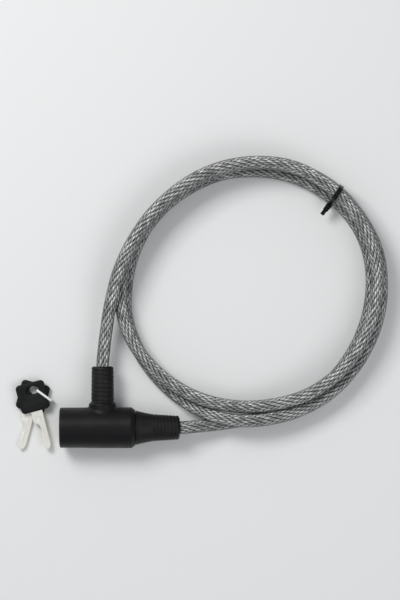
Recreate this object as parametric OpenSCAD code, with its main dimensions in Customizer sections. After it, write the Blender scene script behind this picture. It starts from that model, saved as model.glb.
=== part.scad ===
// Laptop cable lock: a keyed barrel with a side branch, a plug that snaps into the barrel's mouth,
// a steel cable wound in a ring between the two, and a pair of keys. It is drawn unlocked, with the
// plug home. X runs along the barrel towards the plug, Y along the side branch, and Z is up.
// The origin is on the barrel's axis, at the middle of the seat that a clamp bracket grips.

/* [Barrel] */
// Outer diameter of the barrel
barrel_d = 31.4; // [31:0.2:38]
// Length of the barrel, from the key face to the mouth
barrel_len = 58.4; // [56:0.2:72]
// Wall of the plastic jacket round the casting
jacket_wall = 2.2; // [1.6:0.1:2.4]
// Thickness of the jacket's front wall
front_wall = 1.6; // [1.2:0.1:2]
// Diameter of the opening for the key in the front wall
face_opening_d = 20; // [18:0.5:22]
// Radius of the rounded edge at the key end
end_edge = 1.5; // [0.5:0.1:2]
// Length of the ring at the mouth
mouth_len = 3.3; // [2.5:0.1:4.5]
// Outer diameter of the mouth ring's front face
mouth_face_d = 27; // [22:0.2:29]
// Diameter of the hole for the locking pin
mouth_hole_d = 8.8; // [8.6:0.1:9.4]
// Length of the mouth ring's spigot inside the jacket
mouth_spigot = 1.1; // [0.6:0.1:2]

/* [Bracket seat] */
// Length of the band that a clamp bracket grips
seat_len = 20; // [12:0.5:20]
// How far the band lies below the rest of the jacket
seat_relief = 0.2; // [0.2:0.05:0.4]

/* [Branch] */
// Distance of the branch's axis from the key face
branch_x = 33; // [33:0.5:35]
// Outer diameter of the branch's collar
collar_d = 21.4; // [20.6:0.2:22]
// How far the collar's shoulder stands out past the barrel
collar_rise = 1.9; // [1.2:0.1:4]
// Height of the collar's slope above its shoulder
collar_slope = 2; // [1:0.1:3]
// Diameter of the boot at its foot
boot_d = 17.7; // [16.6:0.1:18]
// Diameter of the boot at its end
boot_top_d = 16.9; // [15:0.1:17.5]
// How far the boot stands out past the barrel
boot_len = 31.4; // [26:0.2:31.4]
// Number of ring grooves on the boot
boot_grooves = 8; // [0:1:8]
// Distance between the boot's ring grooves
boot_pitch = 3.3; // [2.4:0.1:3.3]

/* [Plug] */
// Length of the plug's boot
plug_len = 33.8; // [33:0.2:42]
// Diameter of the plug's boot where it meets the barrel
plug_d = 26.6; // [23.6:0.2:27]
// Diameter of the plug's boot at its waist
waist_d = 20.8; // [20:0.2:22]
// Distance of the waist from the barrel
waist_x = 13; // [8:0.2:13]
// Curve of the flare down to the waist: 1 is a straight cone
flare_curve = 1.25; // [1:0.05:2]
// Diameter of the plug's boot at the cable
plug_end_d = 18.2; // [17.4:0.1:19]
// Number of ring grooves on the plug's boot
plug_grooves = 7; // [0:1:7]
// Distance between the plug's ring grooves
plug_pitch = 2.65; // [2:0.05:2.65]
// Diameter of the locking pin
pin_d = 8; // [6.6:0.1:8.2]
// Diameter of the locking pin in its groove
pin_groove_d = 4.8; // [4:0.1:5]
// Diameter of the flange on the locking pin
pin_flange_d = 20; // [16:0.5:20.5]

/* [Lock cylinder] */
// Diameter of the turning core
core_d = 12; // [11.7:0.1:14.4]
// Wall of the sleeve round the core
sleeve_wall = 1.6; // [1.2:0.1:1.6]
// Length of the sleeve
sleeve_len = 20.8; // [20.6:0.1:20.8]
// Number of wafer tumblers
wafer_count = 5; // [1:1:5]
// Thickness of one wafer
wafer_t = 1.5; // [1:0.1:1.6]
// Distance between the wafers
wafer_pitch = 3.2; // [3:0.1:3.3]

/* [Latch] */
// How far the latch rises into the locking pin's groove
latch_travel = 1.8; // [1.6:0.1:2]
// Thickness of the latch's bar
latch_bar_t = 2; // [1.6:0.1:2.4]
// Width of the latch's bar
latch_bar_w = 5; // [4:0.2:5.2]
// Length of the tooth that enters the groove
tooth_len = 3; // [2:0.1:3.4]

/* [Cable] */
// Outer diameter of the cable
cable_d = 9.8; // [8.1:0.1:9.8]
// Diameter of the steel rope inside the cable
rope_d = 7; // [5:0.1:7]
// Diameter of the swaged ferrule in the branch
fixed_ferrule_d = 10.9; // [9.8:0.1:11]
// Diameter of the swaged ferrule in the plug
plug_ferrule_d = 13; // [11:0.1:13.4]

/* [Cable tie] */
// Width of the tie's strap
tie_w = 3.6; // [2.5:0.1:5]
// Thickness of the tie's strap
tie_t = 1.1; // [0.8:0.1:1.1]

/* [Keys] */
// Width and height of a key's bow
bow_size = 22.6; // [19:0.2:24]
// Radius of the bow's corners
bow_corner = 3; // [2:0.1:6]
// Thickness of a bow
bow_t = 3.2; // [2.6:0.1:4]
// Length of the hole through a bow
bow_hole_w = 9.8; // [9.4:0.1:11]
// Height of the hole through a bow
bow_hole_h = 6.2; // [6:0.1:7]
// Thickness of a key's blade
blade_t = 1.9; // [1.4:0.1:1.9]
// Turn of each key away from the line between them
key_spread = 15; // [12:1:18]
// Width of the strap that holds the keys
strap_w = 2; // [1.4:0.1:2.2]
// Thickness of the strap that holds the keys
strap_t = 0.8; // [0.5:0.1:0.8]

/* [Clearances] */
// Radial gap of a part that turns or slides in another
running_gap = 0.06; // [0.03:0.01:0.1]
// Gap round a part that is fixed in another
seat_gap = 0.05; // [0.02:0.01:0.1]
// Gap between faces that move past each other
moving_gap = 0.3; // [0.2:0.05:0.5]

/* [Hidden] */
$fn = 64;
hull_fn = 32;
eps = 0.5;

// Half the length of a cross pin whose far side lies at distance y from the casting's axis.
function chord_half(y) = sqrt(pow(casting_r, 2) - pow(y, 2)) - seat_gap;

// Main radii.
barrel_r = barrel_d / 2;
jacket_bore_r = barrel_r - jacket_wall;
casting_r = jacket_bore_r - 2 * seat_gap;
pin_r = pin_d / 2;
pin_bore_r = pin_r + running_gap;
core_r = core_d / 2;
sleeve_bore_r = core_r + running_gap;
sleeve_r = sleeve_bore_r + sleeve_wall;
cable_r = cable_d / 2;
rope_r = rope_d / 2;
floor_z = -barrel_r;

// Stations along the barrel, counted from the key face.
key_face_x = -(end_edge + seat_len / 2);
jacket_end = barrel_len - mouth_len;
casting_end = jacket_end - mouth_spigot;
core_face = 0.3;
sleeve_end = front_wall + sleeve_len;
clip_x = sleeve_end + 0.1;
clip_t = 0.8;
core_end = clip_x + clip_t + 0.3;
yoke_x = core_end + 0.5;
yoke_t = 2;
yoke_end = yoke_x + yoke_t;
drive_pin_end = yoke_end + 0.2;
yoke_room = yoke_end + 0.4;
spring_x = yoke_room + 1.5;
ejector_spring_len = 6.5;
ejector_x = spring_x + ejector_spring_len + 0.1;
ejector_len = 3;
pin_tip = ejector_x + ejector_len + 0.1;
plug_x = barrel_len + moving_gap;
plug_end = plug_x + plug_len;

// Locking pin and its groove, counted from the tip.
groove_x = pin_tip + 6.5;
groove_len = 4;
groove_end = groove_x + groove_len;
pin_tip_chamfer = 1;
pin_flange_t = 2;
pin_tail_r = 3;
pin_tail_len = 3.4;
plug_ferrule_x = plug_x + pin_flange_t;
plug_ferrule_end = plug_end - 8.5;
rope_start = plug_ferrule_x + pin_tail_len + 2;

// Lock cylinder.
core_flange_r = core_r + 0.95;
face_ring_r = core_flange_r + 0.15;
key_half = 3.5;
key_slot_half = blade_t / 2 + 0.1;
first_wafer = 4.6;
wafer_gap = 0.05;
wafer_half_y = 3.4;
wafer_half_z = 4.6;
wafer_ear_y = 5;
wafer_ear_z = [0.4, 1.4];
wafer_spring_z = -2.6;
wafer_spring_r = 0.5;
wafer_wire_r = 0.14;
channel_half = wafer_half_y + 0.2;
channel_x = first_wafer - 0.6;
channel_end = first_wafer + wafer_count * wafer_pitch - 0.9;
sleeve_pin_r = 0.9;
sleeve_pin_x = 12;
sleeve_pin_y = -(sleeve_r + 0.4);
sleeve_pin_half = chord_half(sleeve_pin_y - sleeve_pin_r);
sleeve_pin_sink = 0.05;

// Latch. The core's eccentric pin lifts it in a quarter turn, from one side of the centre line
// to the other, so the pin stands half the travel below the axis and as far beside it.
drive_r = 1;
drive_offset = latch_travel / 2;
yoke_half_y = 3.6;
yoke_top = 3.2;
yoke_slot_half_z = drive_r + 0.1;
yoke_slot_y = [drive_offset - drive_r - 0.3, drive_offset * sqrt(2) + drive_r + 0.3];
tooth_top = -(pin_bore_r + 0.3);
tooth_x = groove_x + (groove_len - tooth_len) / 2;
bar_top = -(pin_bore_r + 0.8 + latch_travel + 0.3);
bar_bottom = bar_top - latch_bar_t;
bar_end = tooth_x + tooth_len;
room_half_y = yoke_half_y + moving_gap;
room_top = yoke_top + latch_travel + moving_gap;
bar_room_half = latch_bar_w / 2 + moving_gap;
bar_room_top = bar_top + latch_travel + moving_gap;
latch_spring_x = branch_x + 3;
latch_spring_r = 1.6;
latch_wire_r = 0.25;

// Ejector.
ejector_r = pin_r - 0.5;
ejector_room_r = ejector_r + 0.1;
ejector_stem_r = ejector_r - 1.4;
ejector_stem_len = 1.6;
ejector_coil_r = ejector_r - 0.8;
ejector_wire_r = 0.35;

// Branch.
collar_r = collar_d / 2;
collar_flare = 0.9;
boot_r = boot_d / 2;
boot_end = barrel_r + boot_len;
boot_foot = casting_r + 0.4;
collar_shoulder = barrel_r + collar_rise;
collar_top = collar_shoulder + collar_slope;
fixed_ferrule_r = fixed_ferrule_d / 2;
fixed_ferrule_y = pin_bore_r + 0.54;
fixed_ferrule_end = boot_end - 17.6;
rope_foot = fixed_ferrule_y + 1.9;
cross_groove_y = fixed_ferrule_y + 3.4;
cross_groove_w = 2.4;
cross_groove_r = 4.6;
cross_pin_r = 1.2;
cross_pin_x = branch_x + cross_groove_r + cross_pin_r + seat_gap;
cross_pin_y = cross_groove_y + cross_groove_w / 2;
cross_pin_half = chord_half(cross_pin_y + cross_pin_r);
groove_depth = 0.45;
groove_w = 1;

// Cable tie, seen along the cable: u runs outwards across the windings, h is the height above
// the floor.
tie_pos = [201.5, 179.5];
tie_angle = 57;
tie_strands = [[0.5, 25.3], [2, 15.4], [-4.3, 6.6]];
tie_bore_r = cable_r + 0.4;
tie_head_u = [-15, -8.9];
tie_head_h = [9, 13];
tie_head_w = 4.6;
tie_tail_u = -19;
tie_bend = 5.4;
tie_tail_w = 3.1;
tie_tail_h = 11.2;

// Keys. Both bows turn about one point, the rear one below.
key_pos = [-32.85, 23.3];
bow_hole = [1, 5.3];
tang_w = 6.4;
tang_y = -1;
shoulder_y = -(bow_size / 2);
rear_h = strap_t + 0.1;
front_h = rear_h + bow_t;
strap_pos = [-28.9, 28.2];
strap_angle = -36;
strap_u = [-1.7, 14];
strap_h = [0.05, front_h + bow_t + strap_t + 0.05];

// The cable's route from the branch to the plug: x, y and the height of its middle above the floor.
// Its ends follow the two boots.
cable_path = [
    [24, 72, 16.5], [28, 96.5, 22.5], [34.5, 121, 25], [44.5, 142.5, 25], [58.5, 163, 25],
    [76.5, 180.5, 25], [97.5, 194, 25], [121, 202, 24.5], [146, 204, 24], [169.5, 200, 24.5],
    [191.5, 188.5, 25], [210, 172, 25.5], [224, 151, 25], [232, 127.5, 24], [232, 102.5, 22.5],
    [226.5, 78.5, 22], [215.5, 57, 21.5], [199, 38.5, 21.5], [178, 25, 21], [154, 18, 18],
    [129.5, 16, 15.5], [104.5, 20, 21], [82.5, 29, 18], [62.5, 43.5, 15], [46.5, 63, 15],
    [37, 86, 15], [35.5, 110.5, 14.5], [41.5, 134.5, 14.5], [54, 156, 15], [70.5, 174, 15],
    [90.5, 188.5, 15], [113, 199, 14.5], [138, 203.5, 14], [162.5, 201.5, 14], [186, 193, 14.5],
    [205.5, 179, 15.5], [221, 160, 15], [232.5, 137.5, 14], [236.5, 113, 13], [234.5, 88, 12.5],
    [226.5, 64.5, 12.5], [213.5, 43.5, 12.5], [196.5, 26.5, 13.5], [175, 14, 14.5], [151, 7, 17],
    [126, 5.5, 18.5], [102, 11, 17], [80, 23, 6.5], [62, 40, 5], [48.5, 60, 5],
    [40, 83.5, 5], [39.5, 108, 5], [44.5, 132.5, 5], [55.5, 155, 5], [72, 173.5, 5],
    [92, 187, 5], [115, 196, 5], [140, 198, 5], [164.5, 194.5, 5.5], [187.5, 184.5, 6.5],
    [207, 169.5, 6.5], [221.5, 149, 5.5], [228.5, 126.5, 5], [229, 101.5, 5], [223.5, 77, 5],
    [212.5, 54.5, 5], [197, 35, 5], [177, 20.5, 5], [155, 11, 5], [130.5, 5.5, 5], [106, 2, 10],
];
cable_route = concat(
    [[key_face_x + branch_x, boot_end, 0]],
    [for (p = cable_path) [p[0], p[1], p[2] + floor_z]],
    [[key_face_x + plug_end, 0, 0]]
);

// ---- shared shapes ----

// A round rod along the barrel, between two stations.
module rod(x0, x1, r) {
    translate([key_face_x + x0, 0, 0])
        rotate([0, 90, 0])
            cylinder(h = x1 - x0, r = r);
}

// A box between two stations and two limits each in Y and Z.
module block(x0, x1, y, z) {
    translate([key_face_x + x0, y[0], z[0]])
        cube([x1 - x0, y[1] - y[0], z[1] - z[0]]);
}

// A body turned about the barrel's axis, from an outline of [radius, station] points.
module turned(outline) {
    translate([key_face_x, 0, 0])
        rotate([0, 90, 0])
            rotate_extrude()
                polygon(outline);
}

// A round rod along the branch's axis, between two heights.
module branch_rod(y0, y1, r) {
    translate([key_face_x + branch_x, y0, 0])
        rotate([-90, 0, 0])
            cylinder(h = y1 - y0, r = r);
}

// A body turned about the branch's axis, from an outline of [radius, height] points.
module branch_turned(outline) {
    translate([key_face_x + branch_x, 0, 0])
        rotate([-90, 0, 0])
            rotate_extrude()
                polygon(outline);
}

// A rod across the barrel, up and down through a station and a distance beside the axis.
module cross_rod(x, y, half, r) {
    translate([key_face_x + x, y, -half])
        cylinder(h = 2 * half, r = r);
}

// Points on a quarter ellipse, from [a, 0] to [0, b], moved to a centre.
function quarter(centre, a, b, steps = 6) =
    [for (k = [0:steps]) centre + [a * cos(90 * k / steps), b * sin(90 * k / steps)]];

// The three low points of a ring groove whose middle is at height y on a wall of radius r.
function groove(r, y) =
    [[r, y - groove_w / 2], [r - groove_depth, y - groove_w / 5],
     [r - groove_depth, y + groove_w / 5], [r, y + groove_w / 2]];

// A tube swept along points, with flat ends that face start_dir and end_dir.
function unit(v) = v / norm(v);
function heading(p, i) =
    unit(unit(p[min(i + 1, len(p) - 1)] - p[min(i, len(p) - 2)])
       + unit(p[max(i, 1)] - p[max(i - 1, 0)]));
function ring(centre, dir, up, r, sides) =
    let (side = unit(cross(up, dir)), top = cross(dir, side))
    [for (k = [0:sides - 1])
        centre + r * (cos(360 * k / sides) * side + sin(360 * k / sides) * top)];

module sweep(path, r, sides, up, start_dir = undef, end_dir = undef) {
    last = len(path) - 1;
    dirs = [for (i = [0:last])
        i == 0 && !is_undef(start_dir) ? start_dir
        : i == last && !is_undef(end_dir) ? end_dir
        : heading(path, i)];
    points = [for (i = [0:last]) each ring(path[i], dirs[i], up, r, sides)];
    walls = [for (i = [0:last - 1], k = [0:sides - 1])
        let (a = i * sides + k, b = i * sides + (k + 1) % sides)
        each [[a, a + sides, b + sides], [a, b + sides, b]]];
    start_cap = [for (k = [0:sides - 1]) k];
    end_cap = [for (k = [sides - 1:-1:0]) last * sides + k];
    polyhedron(points, concat([start_cap], walls, [end_cap]));
}

// Points of a helix about Z.
function helix(coil_r, turns, height, steps = 12) =
    [for (k = [0:turns * steps])
        [coil_r * cos(360 * k / steps), coil_r * sin(360 * k / steps),
         height * k / (turns * steps)]];

// A coil spring about Z, whose wire stays between 0 and length.
module spring(coil_r, wire_r, turns, length) {
    translate([0, 0, wire_r])
        sweep(helix(coil_r, turns, length - 2 * wire_r), wire_r, 6, [0, 0, 1]);
}

// A square with rounded corners, of plain squares and circles.
module rounded_plate(w, h, r) {
    square([w, h - 2 * r], center = true);
    square([w - 2 * r, h], center = true);
    for (sx = [-1, 1], sy = [-1, 1])
        translate([sx * (w / 2 - r), sy * (h / 2 - r)])
            circle(r);
}

// ---- barrel ----

// Plastic jacket of the barrel with the branch's collar. Its seat band is a little thinner.
module barrel_jacket() {
    seat_r = barrel_r - seat_relief;
    line_x = jacket_end - 1.8;
    opening_r = face_opening_d / 2;
    outer = concat(
        [[0, 0]],
        [for (p = quarter([0, 0], end_edge, end_edge)) [seat_r - end_edge + p[1], end_edge - p[0]]],
        [[seat_r, end_edge + seat_len], [barrel_r, end_edge + seat_len],
         [barrel_r, line_x], [barrel_r - 0.15, line_x + 0.25], [barrel_r, line_x + 0.5],
         [barrel_r, jacket_end], [0, jacket_end]]
    );
    collar = [
        [0, 0], [collar_r + collar_flare, 0], [collar_r + collar_flare, barrel_r - 3.2],
        [collar_r, barrel_r + 0.3], [collar_r, collar_shoulder],
        [boot_r + 0.5, collar_top], [0, collar_top]
    ];
    color([0.09, 0.09, 0.10])
        difference() {
            union() {
                turned(outer);
                branch_turned(collar);
            }
            rod(front_wall, jacket_end + eps, jacket_bore_r);
            rod(-eps, front_wall + eps, opening_r);
            branch_rod(0, collar_top + eps, boot_r + seat_gap);
        }
}

// Ring that closes the mouth and guides the locking pin.
module mouth_ring() {
    face_r = mouth_face_d / 2;
    hole_r = mouth_hole_d / 2;
    lip = 0.5;
    outline = concat(
        [[hole_r, casting_end], [jacket_bore_r - seat_gap, casting_end],
         [jacket_bore_r - seat_gap, jacket_end], [barrel_r, jacket_end]],
        quarter([face_r, jacket_end + lip], barrel_r - face_r, mouth_len - lip),
        [[hole_r + lip, barrel_len], [hole_r, barrel_len - lip]]
    );
    color([0.07, 0.07, 0.08])
        turned(outline);
}

// Zinc casting that fills the jacket and carries the cylinder, the latch and both cable ends.
module lock_body() {
    cross_gap = 0.02;
    color([0.62, 0.63, 0.65])
        difference() {
            rod(front_wall, casting_end, casting_r);
            rod(front_wall - eps, yoke_x - 0.2, sleeve_r + seat_gap);
            block(yoke_x - 0.2 - eps, yoke_room, [-room_half_y, room_half_y],
                  [-barrel_r, room_top]);
            block(yoke_room - eps, bar_end + 0.4, [-bar_room_half, bar_room_half],
                  [-barrel_r, bar_room_top]);
            block(tooth_x - moving_gap, bar_end + 0.4, [-bar_room_half, bar_room_half],
                  [-barrel_r, 0]);
            rod(spring_x, pin_tip, ejector_room_r);
            rod(pin_tip - 0.2, casting_end + eps, pin_bore_r);
            branch_rod(fixed_ferrule_y, barrel_r, fixed_ferrule_r + seat_gap);
            cross_rod(cross_pin_x, cross_pin_y, cross_pin_half + seat_gap, cross_pin_r + cross_gap);
            cross_rod(sleeve_pin_x, sleeve_pin_y, sleeve_pin_half + seat_gap,
                      sleeve_pin_r + cross_gap);
        }
}

// Steel ring in the key opening, which keeps the sleeve in its bore.
module face_plate() {
    color([0.75, 0.75, 0.77])
        difference() {
            rod(core_face, front_wall, face_opening_d / 2 - 2 * seat_gap);
            rod(core_face - eps, front_wall + eps, face_ring_r);
        }
}

// ---- lock cylinder ----

// Fixed brass sleeve with a channel above and below for the wafers.
module cylinder_sleeve() {
    color([0.78, 0.65, 0.36])
        difference() {
            rod(front_wall, sleeve_end, sleeve_r);
            rod(front_wall - eps, sleeve_end + eps, sleeve_bore_r);
            block(channel_x, channel_end, [-channel_half, channel_half], [-barrel_r, barrel_r]);
            cross_rod(sleeve_pin_x, sleeve_pin_y, sleeve_pin_half, sleeve_pin_r + sleeve_pin_sink);
        }
}

// Steel pin across the casting that stops the sleeve from turning.
module sleeve_pin() {
    color([0.70, 0.71, 0.73])
        cross_rod(sleeve_pin_x, sleeve_pin_y, sleeve_pin_half, sleeve_pin_r);
}

// Turning core with its key slot, wafer slots, clip groove and eccentric drive pin.
module core() {
    groove_r = core_r - 0.8;
    slot_half = wafer_t / 2 + wafer_gap;
    color([0.80, 0.68, 0.40])
        difference() {
            union() {
                rod(core_face, core_end, core_r);
                rod(core_face, front_wall - running_gap, core_flange_r);
                translate([0, drive_offset, -drive_offset])
                    rod(core_end - eps, drive_pin_end, drive_r);
            }
            difference() {
                rod(clip_x - seat_gap, clip_x + clip_t + seat_gap, core_r + eps);
                rod(clip_x - eps, clip_x + clip_t + eps, groove_r);
            }
            block(core_face - eps, channel_end, [-key_slot_half, key_slot_half],
                  [-key_half, key_half]);
            for (i = [0:wafer_count - 1]) {
                middle = first_wafer + i * wafer_pitch + wafer_t / 2;
                block(middle - slot_half, middle + slot_half,
                      [-wafer_half_y - wafer_gap, wafer_half_y + wafer_gap], [-barrel_r, barrel_r]);
                block(middle - slot_half, middle + slot_half,
                      [wafer_half_y - eps, wafer_ear_y + wafer_gap],
                      [wafer_spring_z - wafer_gap, wafer_ear_z[1] + wafer_gap]);
            }
        }
}

// Spring steel ring that keeps the core in the sleeve.
module core_clip() {
    inner_r = core_r - 0.8 + seat_gap;
    gap_half = 2.5;
    color([0.55, 0.56, 0.58])
        difference() {
            rod(clip_x, clip_x + clip_t, sleeve_r - 0.25);
            rod(clip_x - eps, clip_x + clip_t + eps, inner_r);
            block(clip_x - eps, clip_x + clip_t + eps, [-gap_half, gap_half], [0, barrel_r]);
        }
}

// One wafer, with its window for the key and its ear for the spring.
module wafer(i) {
    x = first_wafer + (i - 1) * wafer_pitch;
    color([0.83, 0.72, 0.45])
        difference() {
            union() {
                block(x, x + wafer_t, [-wafer_half_y, wafer_half_y], [-wafer_half_z, wafer_half_z]);
                block(x, x + wafer_t, [wafer_half_y - eps, wafer_ear_y], wafer_ear_z);
            }
            block(x - eps, x + wafer_t + eps, [-key_slot_half - 0.05, key_slot_half + 0.05],
                  [-key_half - 0.05, key_half + 0.05]);
        }
}

// Spring under the ear of one wafer.
module wafer_spring(i) {
    x = first_wafer + (i - 1) * wafer_pitch + wafer_t / 2;
    y = (wafer_half_y + wafer_ear_y) / 2;
    color([0.75, 0.75, 0.77])
        translate([key_face_x + x, y, wafer_spring_z])
            spring(wafer_spring_r, wafer_wire_r, 4, wafer_ear_z[0] - wafer_spring_z);
}

// ---- latch and ejector ----

// Yoke that rides on the core's drive pin, with a bar under the bores and a tooth at its end.
module latch() {
    bar_half = latch_bar_w / 2;
    color([0.60, 0.61, 0.64])
        difference() {
            union() {
                block(yoke_x, yoke_end, [-yoke_half_y, yoke_half_y], [bar_bottom, yoke_top]);
                block(yoke_x, bar_end, [-bar_half, bar_half], [bar_bottom, bar_top]);
                block(tooth_x, bar_end, [-bar_half, bar_half], [bar_top - eps, tooth_top]);
            }
            block(yoke_x - eps, yoke_end + eps, yoke_slot_y,
                  [-drive_offset - yoke_slot_half_z, -drive_offset + yoke_slot_half_z]);
        }
}

// Spring between the jacket's wall and the bar.
module latch_spring() {
    bottom = -(jacket_bore_r - 0.2);
    color([0.75, 0.75, 0.77])
        translate([key_face_x + latch_spring_x, 0, bottom])
            spring(latch_spring_r, latch_wire_r, 4, bar_bottom - seat_gap - bottom);
}

// Plunger that pushes the locking pin out.
module ejector() {
    color([0.68, 0.69, 0.71])
        union() {
            rod(ejector_x, ejector_x + ejector_len, ejector_r);
            rod(ejector_x - ejector_stem_len, ejector_x + eps, ejector_stem_r);
        }
}

// Spring behind the plunger.
module ejector_spring() {
    color([0.75, 0.75, 0.77])
        translate([key_face_x + spring_x, 0, 0])
            rotate([0, 90, 0])
                spring(ejector_coil_r, ejector_wire_r, 5, ejector_spring_len + 0.05);
}

// ---- branch ----

// Swaged ferrule on the fixed end of the cable, with a groove for its cross pin.
module fixed_ferrule() {
    r = fixed_ferrule_r;
    chamfer = 0.6;
    groove_top = cross_groove_y + cross_groove_w;
    outline = [
        [0, fixed_ferrule_y], [r - chamfer, fixed_ferrule_y], [r, fixed_ferrule_y + chamfer],
        [r, cross_groove_y], [cross_groove_r, cross_groove_y], [cross_groove_r, groove_top],
        [r, groove_top], [r, fixed_ferrule_end], [rope_r + seat_gap, fixed_ferrule_end],
        [rope_r + seat_gap, rope_foot], [0, rope_foot]
    ];
    color([0.66, 0.67, 0.69])
        branch_turned(outline);
}

// Steel pin across the casting that holds the ferrule by its groove.
module ferrule_pin() {
    color([0.70, 0.71, 0.73])
        cross_rod(cross_pin_x, cross_pin_y, cross_pin_half, cross_pin_r);
}

// End of the cable in the branch: bare rope in the ferrule, then the full vinyl cable.
module cable_tail_fixed() {
    color([0.55, 0.57, 0.55])
        union() {
            branch_rod(rope_foot, fixed_ferrule_end + eps, rope_r);
            branch_rod(fixed_ferrule_end, boot_end, cable_r);
        }
}

// Rubber boot of the branch, with its ring grooves and rounded end.
module t_boot() {
    top_r = boot_top_d / 2;
    edge = 1.6;
    first = boot_end - 3 - (boot_grooves - 1) * boot_pitch;
    taper = (top_r - boot_r) / (boot_end - boot_foot);
    grooves = [for (i = [0:1:boot_grooves - 1])
        let (y = first + i * boot_pitch) each groove(boot_r + taper * (y - boot_foot), y)];
    bore_r = cable_r + seat_gap;
    ferrule_room_r = fixed_ferrule_r + seat_gap;
    outline = concat(
        [[ferrule_room_r, boot_foot], [boot_r, boot_foot]],
        grooves,
        quarter([top_r - edge, boot_end - edge], edge, edge),
        [[bore_r, boot_end], [bore_r, fixed_ferrule_end], [ferrule_room_r, fixed_ferrule_end]]
    );
    color([0.08, 0.08, 0.09])
        branch_turned(outline);
}

// ---- plug ----

// Steel pin that the latch holds by its groove, with a flange against the mouth and a tail in
// the ferrule.
module locking_pin() {
    groove_r = pin_groove_d / 2;
    flange_r = pin_flange_d / 2;
    flange_end = plug_x + pin_flange_t;
    tail_end = flange_end + pin_tail_len;
    outline = [
        [0, pin_tip], [pin_r - pin_tip_chamfer, pin_tip], [pin_r, pin_tip + pin_tip_chamfer],
        [pin_r, groove_x], [groove_r, groove_x], [groove_r, groove_end], [pin_r, groove_end],
        [pin_r, plug_x], [flange_r, plug_x], [flange_r, flange_end],
        [pin_tail_r, flange_end], [pin_tail_r, tail_end], [0, tail_end]
    ];
    color([0.74, 0.75, 0.77])
        turned(outline);
}

// Swaged ferrule that joins the pin's tail to the rope.
module plug_ferrule() {
    color([0.66, 0.67, 0.69])
        difference() {
            rod(plug_ferrule_x, plug_ferrule_end, plug_ferrule_d / 2);
            rod(plug_ferrule_x - eps, plug_ferrule_x + pin_tail_len + 0.1, pin_tail_r + seat_gap);
            rod(rope_start, plug_ferrule_end + eps, rope_r + seat_gap);
        }
}

// End of the cable in the plug: bare rope in the ferrule, then the full vinyl cable.
module cable_tail_plug() {
    color([0.55, 0.57, 0.55])
        union() {
            rod(rope_start, plug_ferrule_end + eps, rope_r);
            rod(plug_ferrule_end, plug_end, cable_r);
        }
}

// Radius of the plug's boot at a distance from its wide end: a hollow curve in to the waist,
// then a straight taper to the cable.
function plug_boot_r(u) =
    u < waist_x
        ? waist_d / 2 + (plug_d - waist_d) / 2 * pow(1 - u / waist_x, flare_curve)
        : waist_d / 2 + (plug_end_d - waist_d) / 2 * (u - waist_x) / (plug_len - waist_x);

// Rubber boot of the plug, hollow for the flange, the ferrule and the cable.
module plug_boot() {
    dome = 1.8;
    dome_r = plug_end_d / 2;
    last = plug_len - 3.4;
    first = last - (plug_grooves - 1) * plug_pitch;
    faint_depth = 0.2;
    flange_room_r = pin_flange_d / 2 + seat_gap;
    ferrule_room_r = plug_ferrule_d / 2 + seat_gap;
    bore_r = cable_r + seat_gap;
    flare = [for (u = [0:1:waist_x])
        [plug_boot_r(u) - (u == 1 || u == 3 ? faint_depth : 0), plug_x + u]];
    grooves = [for (i = [0:1:plug_grooves - 1])
        let (u = first + i * plug_pitch) each groove(plug_boot_r(u), plug_x + u)];
    outline = concat(
        [[flange_room_r, plug_x]],
        flare,
        grooves,
        quarter([bore_r, plug_end - dome], dome_r - bore_r, dome),
        [[bore_r, plug_ferrule_end], [ferrule_room_r, plug_ferrule_end],
         [ferrule_room_r, plug_ferrule_x], [flange_room_r, plug_ferrule_x]]
    );
    color([0.08, 0.08, 0.09])
        turned(outline);
}

// ---- cable and its tie ----

// The free cable, face to face with the cable's ends in both boots.
module cable() {
    color([0.60, 0.62, 0.60])
        sweep(cable_route, cable_r, 10, [0, 0, 1], [0, 1, 0], [-1, 0, 0]);
}

// Outline round the three windings where the tie sits.
module tie_outline(r) {
    hull()
        for (s = tie_strands)
            translate(s)
                circle(r, $fn = hull_fn);
}

// Plastic tie round the windings, with its head on the inner side and a short free tail.
module cable_tie() {
    color([0.06, 0.06, 0.07])
        translate([tie_pos[0], tie_pos[1], floor_z])
            rotate([90, 0, tie_angle]) {
                linear_extrude(tie_w, center = true)
                    difference() {
                        tie_outline(tie_bore_r + tie_t);
                        tie_outline(tie_bore_r);
                    }
                // The head and the tail turn a little on the band.
                translate([tie_head_u[1], 0, 0])
                    rotate([0, -tie_bend, 0]) {
                        translate([tie_head_u[0] - tie_head_u[1], tie_head_h[0], -tie_head_w / 2])
                            cube([tie_head_u[1] - tie_head_u[0], tie_head_h[1] - tie_head_h[0],
                                  tie_head_w]);
                        translate([tie_tail_u - tie_head_u[1], tie_tail_h - tie_t / 2, -tie_tail_w / 2])
                            cube([tie_head_u[0] - tie_tail_u + eps, tie_t, tie_tail_w]);
                    }
            }
}

// ---- keys ----

// Moves a key to its place: its blade points to -Y before the turn.
module place_key(h, turn) {
    translate([key_pos[0], key_pos[1], floor_z + h])
        rotate(turn)
            children();
}

// Moulded bow with its hole and the pocket for the blade's tang.
module key_bow() {
    pocket = blade_t + 2 * seat_gap;
    pocket_w = tang_w + 2 * seat_gap;
    pocket_end = tang_y + seat_gap;
    difference() {
        linear_extrude(bow_t)
            difference() {
                rounded_plate(bow_size, bow_size, bow_corner);
                translate(bow_hole)
                    rounded_plate(bow_hole_w, bow_hole_h, bow_hole_h / 2 - 0.01);
            }
        translate([-pocket_w / 2, -bow_size / 2 - eps, (bow_t - pocket) / 2])
            cube([pocket_w, pocket_end + bow_size / 2 + eps, pocket]);
    }
}

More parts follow.
